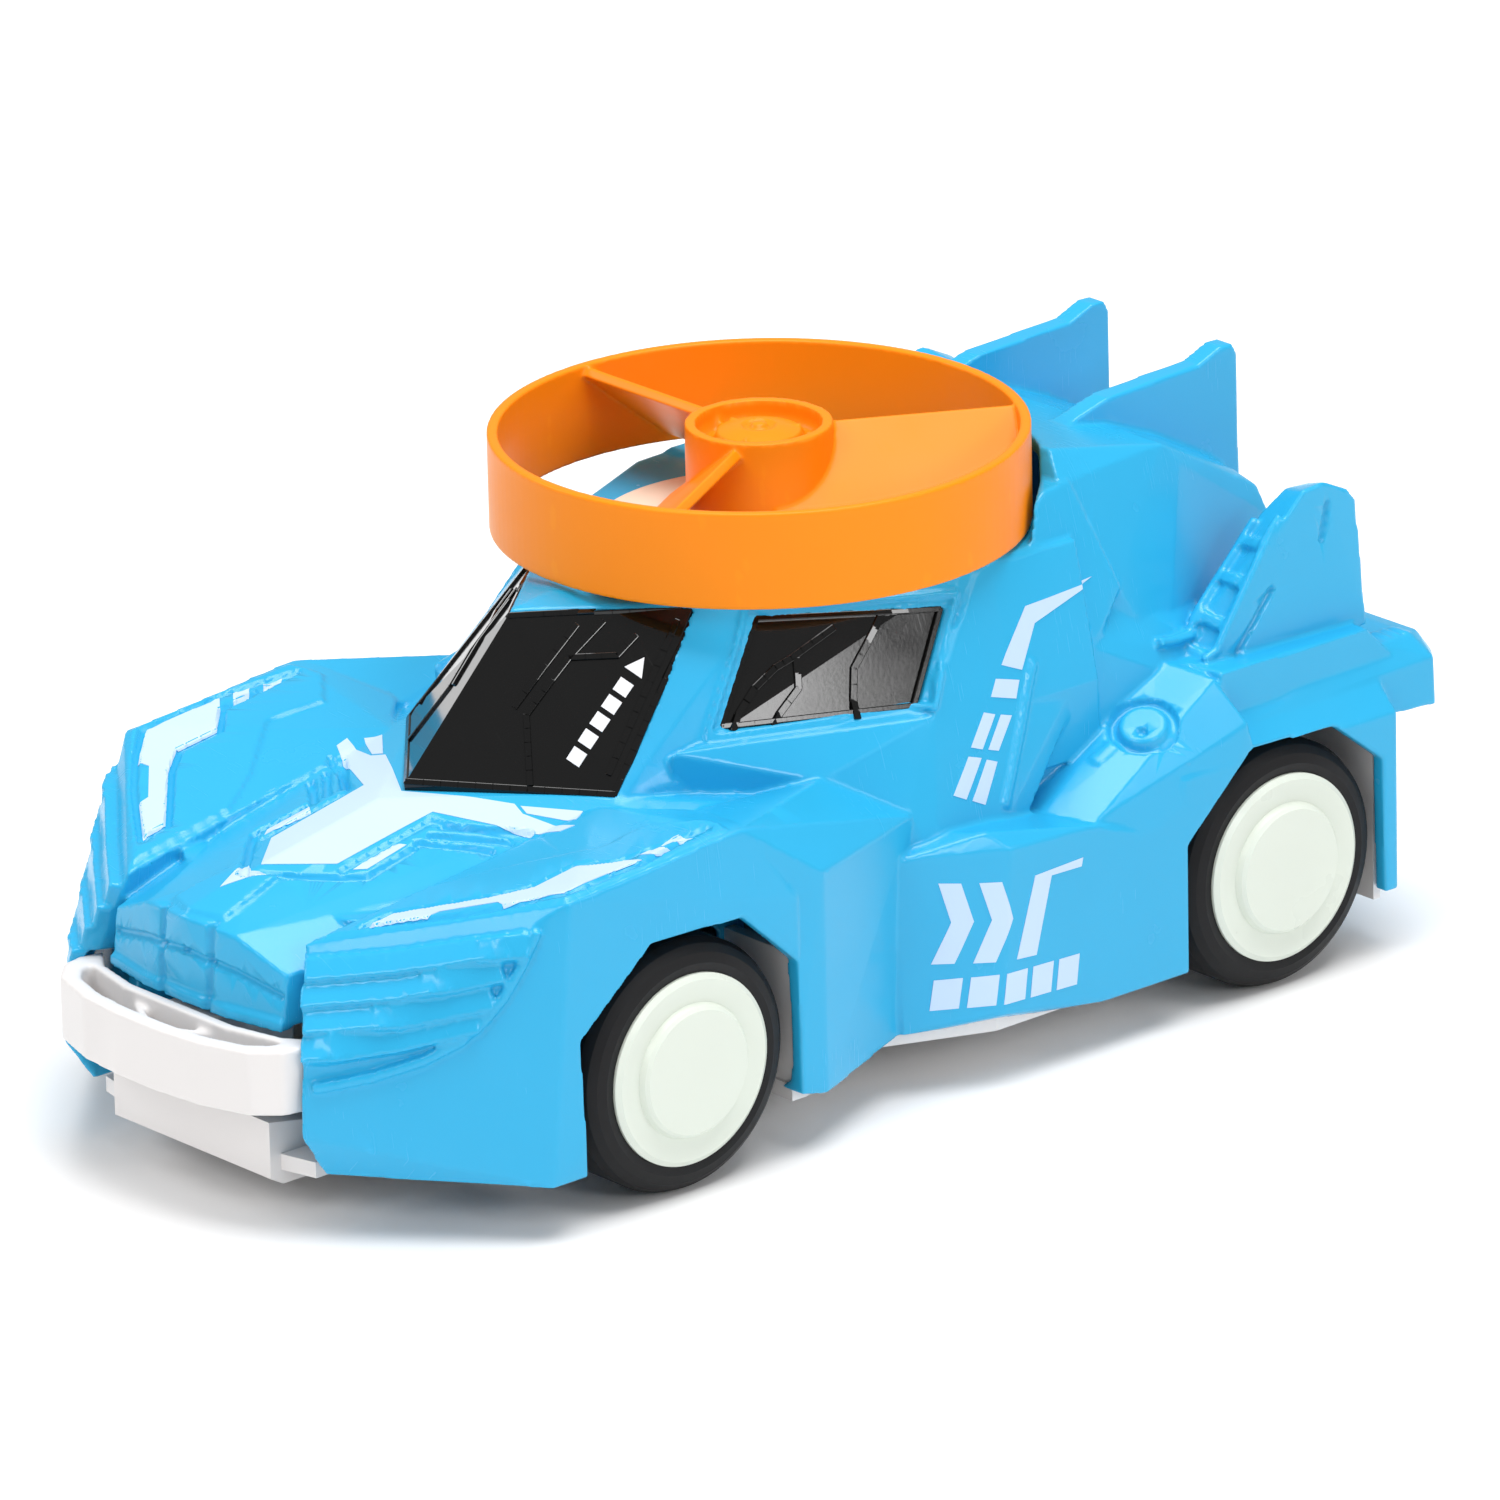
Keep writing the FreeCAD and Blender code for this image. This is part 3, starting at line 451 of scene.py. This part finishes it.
BLADES = [
    [(13.8, -57.6, 23.9), (19.9, -52.9, 25.0), (25.2, -48.4, 26.4), (28.6, -45.2, 27.2)],
    [(14.4, -58.4, 21.8), (21.1, -53.2, 23.0), (27.3, -47.2, 25.0)],
    [(15.4, -59.4, 19.8), (21.7, -53.8, 20.9), (26.9, -48.4, 22.5)],
    [(16.2, -60.2, 17.6), (21.9, -54.2, 18.9), (26.2, -49.2, 20.4)],
]
BLADE_ARC = [
    (29.3, -44.3, 28.4), (28.7, -45.6, 25.5), (27.8, -47.0, 22.5), (26.9, -48.3, 20.6),
    (25.6, -50.0, 18.7), (23.5, -52.5, 17.0), (20.6, -55.6, 15.6), (17.2, -59.4, 14.6),
]
WINDOW_FRAME = [
    (17.0, -12.8, 35.3), (15.4, -5.6, 45.0), (22.2, 12.4, 44.4), (23.6, 7.0, 35.4),
]
DOOR_EDGE = [(24.8, 19.6, 36.2), (26.3, 16.6, 30.6), (27.6, 13.2, 25.0)]
FIN_RAILS = [
    [(24.2, 37.4, 32.2), (23.6, 42.9, 36.3), (23.2, 49.4, 42.0)],
    [(27.1, 38.9, 31.9), (27.1, 44.0, 37.8), (27.1, 48.7, 43.4)],
]
FIN_RUNGS = [(47.2, 40.8), (44.5, 37.9), (41.6, 34.8), (39.1, 32.6)]
FIN_CREASE = [(27.6, 42.3, 31.9), (27.6, 46.8, 37.2)]
FIN_NICK = [(27.6, 53.2, 40.6), (27.6, 54.0, 43.8)]
BUTTON = (28.3, 29.9, 28.4)
BUTTON_FACES = Vector((0.28, -0.42, 0.86)).normalized()
BUTTON_R = 2.3
TAIL_MARKS = (60.4, 61.6, 62.8)
POD_FRONT = Vector((0.9, -0.4, 0.1)).normalized()
FIN_FRONT = Vector((0, -0.72, 0.69)).normalized()

on_both(plate, ribs, FENDER_PAD, UP, 0.5, 0.35)
press(FENDER_LINE, UP, 0.8, 0.5)
press(HOOD_CHEVRON, UP, 1.0, 0.55)
press(HOOD_RIM, UP, 0.8, 0.4)
for arc in HOOD_ARCS:
    press(arc, UP, 1.0, 0.55)
plate(ribs, SHELL_TREE, NOSE_RIB, UP, 0.5, 0.4)
press(NOSE_FALL, FRONT, 1.0, 0.5)
press(NOSE_STEP, FRONT, 0.9, 0.4)
strip(ribs, SHELL_TREE, NOSE_LIP, FRONT, 1.0, 1.2, 0.35)
for blade in BLADES:
    on_both(strip, ribs, blade, FRONT, 2.3, 0.6, 0.75, tilt=-15.0)
on_both(strip, ribs, BLADE_ARC, FRONT, 0.9, 0.4, 0.6)
on_both(strip, ribs, WINDOW_FRAME + WINDOW_FRAME[:1], SIDE, 0.5, 0.3, 0.4)
on_both(strip, ribs, DOOR_EDGE, SIDE, 0.7, 0.4, 0.3)
for rail in FIN_RAILS:
    on_both(strip, ribs, rail, FIN_FRONT, 0.8, 0.4, 0.75)
for y, z in FIN_RUNGS:
    on_both(strip, ribs, [(23.4, y, z), (27.1, y, z)], FIN_FRONT, 1.1, 0.4, 0.55)
press(FIN_CREASE, SIDE, 0.9, 0.5)
press(FIN_NICK, SIDE, 0.8, 0.45)
for y in TAIL_MARKS:
    on_both(strip, ribs, [(27.0, y, 29.2), (28.6, y, 29.2)], UP, 0.5, 0.3, 0.25)

for side in (1, -1):
    middle = spot((BUTTON[0] * side, BUTTON[1], BUTTON[2]))
    faces = Vector((BUTTON_FACES.x * side, BUTTON_FACES.y, BUTTON_FACES.z))
    place, _ = touch(SHELL_TREE, middle / MM, faces)
    lie = faces.to_track_quat("Z", "Y").to_matrix().to_4x4()
    lie = Matrix.Translation(place) @ lie
    ring = [lie @ (Matrix.Rotation(k * math.pi / 12, 4, "Z") @ Vector(((BUTTON_R + 0.5) * MM, 0, 0)))
            for k in range(25)]
    presses.append((ring, faces, 1.1, 0.65))
    dimple = lie @ Vector((0.0, -0.9 * MM, 0.3 * MM))
    presses.append(([dimple, dimple + (lie @ Vector((0.2 * MM, 0, 0)) - place)], faces, 1.1, 0.5))
    bmesh.ops.create_cone(
        ribs, cap_ends=True, segments=40, radius1=(BUTTON_R + 0.1) * MM, radius2=(BUTTON_R - 0.2) * MM,
        depth=1.2 * MM, matrix=lie @ Matrix.Translation((0, 0, -0.35 * MM)))
    strip(ribs, SHELL_TREE, [(27.6 * side, 24.6, 26.2), (27.8 * side, 27.0, 27.4)], faces, 1.2, 0.4, 0.3)

# Blocks that close the slit under the hump's back edge and the gap behind each door.
FILLERS = [
    ((-15.8, 56.0, 29.2), (15.8, 58.7, 31.3)),
    ((20.5, 15.0, 22.0), (24.2, 20.0, 26.4)),
    ((-24.2, 15.0, 22.0), (-20.5, 20.0, 26.4)),
]
for low, high in FILLERS:
    low, high = spot(low), spot(high)
    block = Matrix.Translation((low + high) / 2) @ Matrix.Diagonal((*(high - low), 1))
    bmesh.ops.create_cube(ribs, size=1.0, matrix=block)

body = refined(
    "body_moulding", "body_shell", FINISHES["blue_shell"], ribs, presses,
    MESH_GRID, SMOOTH_ROUNDS, BODY_TRIANGLES)
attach(body, "car")
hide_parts("body_shell")
finished = bmesh.new()
finished.from_mesh(body.data)
BODY_TREE = BVHTree.FromBMesh(finished)


# ---------------------------------------------------------------- windows

SCREEN_LINES = [
    [(8.8, -27.2, 32.7), (5.3, -24.4, 37.5), (5.6, -19.4, 41.8), (8.4, -16.1, 41.9), (8.6, -14.0, 43.3)],
    [(4.2, -24.8, 38.1), (4.6, -17.6, 44.2)],
    [(5.6, -19.4, 41.8), (6.0, -15.6, 44.4)],
    [(13.0, -21.4, 33.0), (9.7, -9.9, 43.6)],
]
SCREEN_FACES = Vector((0.56, -0.56, 0.61)).normalized()
SCREEN_EDGE = [(0.0, -34.3, 32.3), (14.5, -22.1, 31.8), (10.5, -8.1, 44.9), (0.0, -21.6, 44.9)]
SIDE_EDGE = [
    (16.3, -11.0, 35.85), (24.0, 6.1, 35.3), (22.4, 10.8, 43.0), (15.1, -4.8, 44.1), (16.3, -11.0, 35.85),
]
SIDE_LINES = [
    [(17.5, -10.4, 35.6), (16.7, -7.0, 38.6), (17.0, -4.7, 40.0), (17.4, -3.1, 40.6), (18.2, 1.3, 42.6)],
    [(19.0, -6.9, 35.2), (18.6, -3.4, 38.1), (17.6, -2.7, 40.5)],
    [(22.0, 0.6, 35.1), (20.2, 1.9, 39.1), (19.8, 5.7, 43.2)],
]

GLASS_TREES = {}
for node in ("windscreen", "side_window_left", "side_window_right"):
    lines = bmesh.new()
    tree = BVHTree.FromBMesh(merged(node))
    GLASS_TREES[node] = tree
    if node == "windscreen":
        for path in SCREEN_LINES:
            strip(lines, tree, path, SCREEN_FACES, 0.6, 0.2, 0.22)
            strip(lines, tree, flipped(path), turned_view(SCREEN_FACES), 0.6, 0.2, 0.22)
        strip(lines, tree, SCREEN_EDGE, SCREEN_FACES, 0.6, 0.3, 0.12)
        strip(lines, tree, flipped(SCREEN_EDGE), turned_view(SCREEN_FACES), 0.6, 0.3, 0.12)
    else:
        left = node.endswith("left")
        for path in SIDE_LINES:
            strip(lines, tree, path if left else flipped(path), SIDE if left else -SIDE, 0.7, 0.2, 0.25)
        edge_path = SIDE_EDGE if left else flipped(SIDE_EDGE)
        strip(lines, tree, edge_path, SIDE if left else -SIDE, 0.5, 0.2, 0.5)
    bmesh.ops.bevel(
        lines, geom=lines.edges[:], offset=0.08 * MM, offset_type="OFFSET", affect="EDGES",
        segments=2, profile=0.5, material=-1)
    moulding = piece_from(mesh_from(lines, node + "_lines"), node + "_lines", FINISHES["black_screen"])
    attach(moulding, "car")


# ---------------------------------------------------------------- prints

def printed(name, tree, outlines, view, material, both=True):
    """Pad-printed ink on the moulding, as a thin layer that follows it."""
    ink = bmesh.new()
    for outline in outlines:
        plate(ink, tree, outline, view, PRINT_DEEP, PRINT_PROUD, PRINT_CELL)
        if both:
            plate(ink, tree, flipped(outline), turned_view(view), PRINT_DEEP, PRINT_PROUD, PRINT_CELL)
    piece = piece_from(mesh_from(ink, name), name, material)
    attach(piece, "car")
    return piece


HOOD_PRINT = [
    [(0.0, -51.4, 28.9), (4.6, -46.4, 28.8), (4.7, -38.6, 30.2), (0.0, -38.6, 31.0)],
    [(0.0, -38.6, 31.0), (4.7, -38.6, 30.2), (4.8, -35.3, 30.9), (15.6, -29.5, 30.5), (15.9, -28.0, 30.7),
     (10.6, -29.6, 30.7), (9.0, -29.2, 31.2), (0.0, -34.9, 31.5)],
    [(9.6, -29.0, 31.1), (14.0, -25.4, 30.9), (14.8, -26.9, 30.7), (10.8, -29.3, 30.8)],
    [(6.2, -45.9, 28.6), (7.0, -44.9, 28.6), (6.8, -40.1, 29.5), (5.8, -40.8, 29.6)],
    [(0.0, -52.6, 28.7), (2.0, -51.2, 28.4), (0.0, -56.2, 27.6)],
]
FENDER_PRINT = [
    [(29.5, -31.8, 31.8), (27.9, -33.1, 31.4), (24.9, -36.0, 31.0), (24.9, -40.8, 30.2), (22.6, -43.7, 29.5),
     (18.5, -47.3, 28.4), (16.0, -49.5, 27.8), (15.7, -52.3, 27.3), (20.2, -49.0, 28.4), (20.4, -47.8, 28.6),
     (24.4, -44.4, 29.6), (25.6, -44.7, 29.8), (29.2, -40.7, 30.9)],
    [(29.5, -30.2, 31.8), (29.5, -28.2, 32.0), (27.9, -29.7, 31.7), (27.9, -31.5, 31.6)],
    [(29.2, -26.8, 32.1), (29.1, -24.7, 32.3), (27.8, -26.0, 32.0), (27.8, -28.1, 31.8)],
]
DOOR_PRINT = [
    [(27.4, 7.3, 27.3), (27.6, 8.7, 26.6), (26.9, 11.4, 29.7), (26.7, 9.9, 30.2)],
    [(27.6, 9.4, 26.3), (27.8, 10.8, 25.6), (27.0, 13.2, 28.9), (26.9, 12.0, 29.4)],
    [(26.5, 10.4, 30.9), (26.6, 11.7, 30.4), (26.0, 14.0, 33.0), (25.7, 12.7, 33.5)],
    [(26.6, 12.4, 30.2), (26.6, 13.6, 29.8), (25.8, 16.0, 32.4), (26.0, 14.7, 32.8)],
    [(25.3, 13.9, 34.6), (25.4, 16.9, 33.7), (25.0, 17.7, 35.2), (24.9, 14.9, 36.0)],
    [(24.6, 15.9, 37.0), (24.8, 18.2, 36.0), (24.0, 20.6, 39.7), (22.8, 28.9, 41.8), (23.5, 19.9, 41.4)],
]
POD_PRINT = [
    [(29.4, 2.4, 12.8), (30.1, 4.4, 12.6), (30.8, 6.2, 16.4), (30.6, 5.2, 20.2), (29.8, 3.2, 20.5),
     (30.1, 4.2, 16.6)],
    [(30.6, 6.0, 12.4), (31.3, 8.0, 12.2), (32.0, 9.8, 16.1), (31.8, 8.8, 19.8), (31.2, 6.8, 20.0),
     (31.4, 7.8, 16.3)],
    [(32.1, 10.2, 12.0), (32.4, 12.6, 11.8), (32.4, 14.6, 19.0), (32.4, 18.3, 18.9), (32.4, 18.5, 19.7),
     (32.4, 12.6, 19.5)],
] + [
    [(30.0, 2.2 + 3.2 * k, 8.3 - 0.15 * k), (30.0, 4.7 + 3.2 * k, 8.2 - 0.15 * k),
     (30.0, 5.1 + 3.2 * k, 11.1 - 0.15 * k), (30.0, 2.6 + 3.2 * k, 11.2 - 0.15 * k)] for k in range(5)
]
printed("hood_print", BODY_TREE, HOOD_PRINT, UP, PRINT)
printed("fender_print", BODY_TREE, FENDER_PRINT, UP, PRINT)
printed("door_print", BODY_TREE, DOOR_PRINT, SIDE, PRINT)
printed("pod_print", BODY_TREE, POD_PRINT, SIDE, PRINT)

MARK_START = Vector((10.9, -23.1, 33.6))
MARK_END = Vector((10.7, -15.8, 40.0))
MARK_UP = Vector((-1.05, -0.45, 0.6))
SCREEN_MARK = []
for k in range(5):
    a = MARK_START.lerp(MARK_END, k / 5)
    b = MARK_START.lerp(MARK_END, (k + 0.72) / 5)
    SCREEN_MARK.append([a, b, b + MARK_UP * 1.1, a + MARK_UP * 1.1])
tip = MARK_END + (MARK_END - MARK_START).normalized() * 0.4
SCREEN_MARK.append([tip - MARK_UP * 0.2, tip + MARK_UP * 0.5 + (MARK_END - MARK_START).normalized() * 1.8,
                    tip + MARK_UP * 1.3])
printed("screen_mark", GLASS_TREES["windscreen"], SCREEN_MARK, SCREEN_FACES, SCREEN_PRINT, both=False)


# ---------------------------------------------------------------- bumper, propeller and the rest

def hub_dome():
    """Domed boss with a small nipple in the middle of the propeller's hub."""
    dome = bmesh.new()
    low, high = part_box("propeller")
    middle = (low + high) / 2
    line = [
        (0.0, 0.0), (0.5, -0.05), (0.7, -0.45), (1.6, -0.7),
        (3.2, -1.15), (4.3, -1.8), (4.5, -3.4), (0.0, -3.4),
    ]
    corners = [dome.verts.new((middle.x + r * MM, middle.y, high.z - 0.05 * MM + z * MM)) for r, z in line]
    edges = [dome.edges.new(pair) for pair in zip(corners, corners[1:])]
    bmesh.ops.spin(
        dome, geom=corners + edges, cent=Vector((middle.x, middle.y, 0)), axis=UP, dvec=(0, 0, 0),
        angle=2 * math.pi, steps=48, use_merge=True)
    bmesh.ops.remove_doubles(dome, verts=dome.verts[:], dist=1e-6)
    bmesh.ops.recalc_face_normals(dome, faces=dome.faces[:])
    return dome


def hub_moats():
    """Round channels that set the hub's boss off from its rim and the nipple off from the boss."""
    low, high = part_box("propeller")
    middle = (low + high) / 2
    moats = []
    for radius, drop, width, depth in ((4.9, 1.2, 2.0, 0.9), (1.15, 0.25, 0.9, 0.35)):
        ring = [
            Vector((middle.x + radius * MM * math.cos(k * math.pi / 16),
                    middle.y + radius * MM * math.sin(k * math.pi / 16), high.z - drop * MM))
            for k in range(33)]
        moats.append((ring, UP, width, depth))
    return moats


for node, name, body_name, slot, voxel, rounds, triangles, raised, channels in (
    ("bumper", "bumper_moulding", "bumper", "white_plastic", MESH_GRID, BUMPER_ROUNDS, BUMPER_TRIANGLES,
     bmesh.new(), []),
    ("propeller", "propeller_moulding", "propeller", "orange_plastic", PROPELLER_GRID,
     SMOOTH_ROUNDS, PROPELLER_TRIANGLES, hub_dome(), hub_moats()),
):
    piece = refined(name, node, FINISHES[slot], raised, channels, voxel, rounds, triangles)
    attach(piece, body_name)
    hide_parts(node)

wire = piece_from(NODES["bumper_spring"].data.copy(), "bumper_spring_wire", FINISHES["steel"])
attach(wire, "car")
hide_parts("bumper_spring")
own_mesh(wire)

for node, thing in NODES.items():
    for slot in thing.material_slots:
        slot.material = FINISHES[slot.material.name.split(".")[0]]

for node in ("chassis", "launcher_base", "launcher_cage", "spindle", "motor_case_left", "motor_case_right"):
    weld = NODES[node].modifiers.new("weld", "WELD")
    weld.merge_threshold = 1e-6
    edge = NODES[node].modifiers.new("edge", "BEVEL")
    edge.width = 0.2 * MM
    edge.segments = 2
    edge.limit_method = "ANGLE"
    edge.angle_limit = math.radians(35)
    edge.harden_normals = False


# ---------------------------------------------------------------- floor, light, camera

def studio():
    floor = bmesh.new()
    bmesh.ops.create_grid(floor, x_segments=2, y_segments=2, size=3.0)
    material = bpy.data.materials.new("studio_floor")
    material.use_nodes = True
    shader = material.node_tree.nodes["Principled BSDF"]
    shader.inputs["Base Color"].default_value = (0.93, 0.93, 0.93, 1)
    shader.inputs["Roughness"].default_value = 0.9
    shader.inputs["Specular IOR Level"].default_value = 0.1
    ground = piece_from(mesh_from(floor, "studio_floor"), "studio_floor", material)
    ground.location = (0, 0, -0.0001)
    world = bpy.data.worlds.new("studio")
    world.use_nodes = True
    world.node_tree.nodes["Background"].inputs["Color"].default_value = (1.0, 1.0, 1.0, 1)
    world.node_tree.nodes["Background"].inputs["Strength"].default_value = 0.36
    SCENE.world = world
    for name, place, size, power in (
        ("overhead", (0.10, 0.05, 0.95), 0.70, 9.4),
        ("front_left", (0.15, -1.05, 0.75), 0.40, 3.0),
        ("rear_left", (1.10, 0.55, 0.60), 0.45, 1.8),
        ("front_right", (-0.64, -0.39, 0.54), 0.35, 1.5),
        ("side_strip", (0.92, -0.11, 0.43), 0.20, 1.4),
    ):
        light = bpy.data.lights.new(name, "AREA")
        light.energy = power
        light.shape = "SQUARE"
        light.size = size
        lamp = bpy.data.objects.new(name, light)
        lamp.location = place
        lamp.rotation_euler = (Vector((0, 0, 0.02)) - Vector(place)).to_track_quat("-Z", "Y").to_euler()
        SCENE.collection.objects.link(lamp)
    SCENE.view_settings.view_transform = "Standard"


def camera():
    a, e, roll = math.radians(49.025), math.radians(20.208), math.radians(-1.2875)
    back = Vector((math.sin(a) * math.cos(e), -math.cos(a) * math.cos(e), math.sin(e)))
    right = Vector((math.cos(a), math.sin(a), 0))
    up = back.cross(right)
    across = math.cos(roll) * right + math.sin(roll) * up
    rise = -math.sin(roll) * right + math.cos(roll) * up
    eye = bpy.data.cameras.new("camera")
    eye.lens = 352.73
    eye.sensor_width = 36
    eye.clip_end = 20
    holder = bpy.data.objects.new("camera", eye)
    holder.matrix_world = Matrix.Translation((0.958108, -0.825336, 0.491773)) @ Matrix(
        (across, rise, back)).transposed().to_4x4()
    SCENE.collection.objects.link(holder)
    SCENE.camera = holder


studio()
camera()
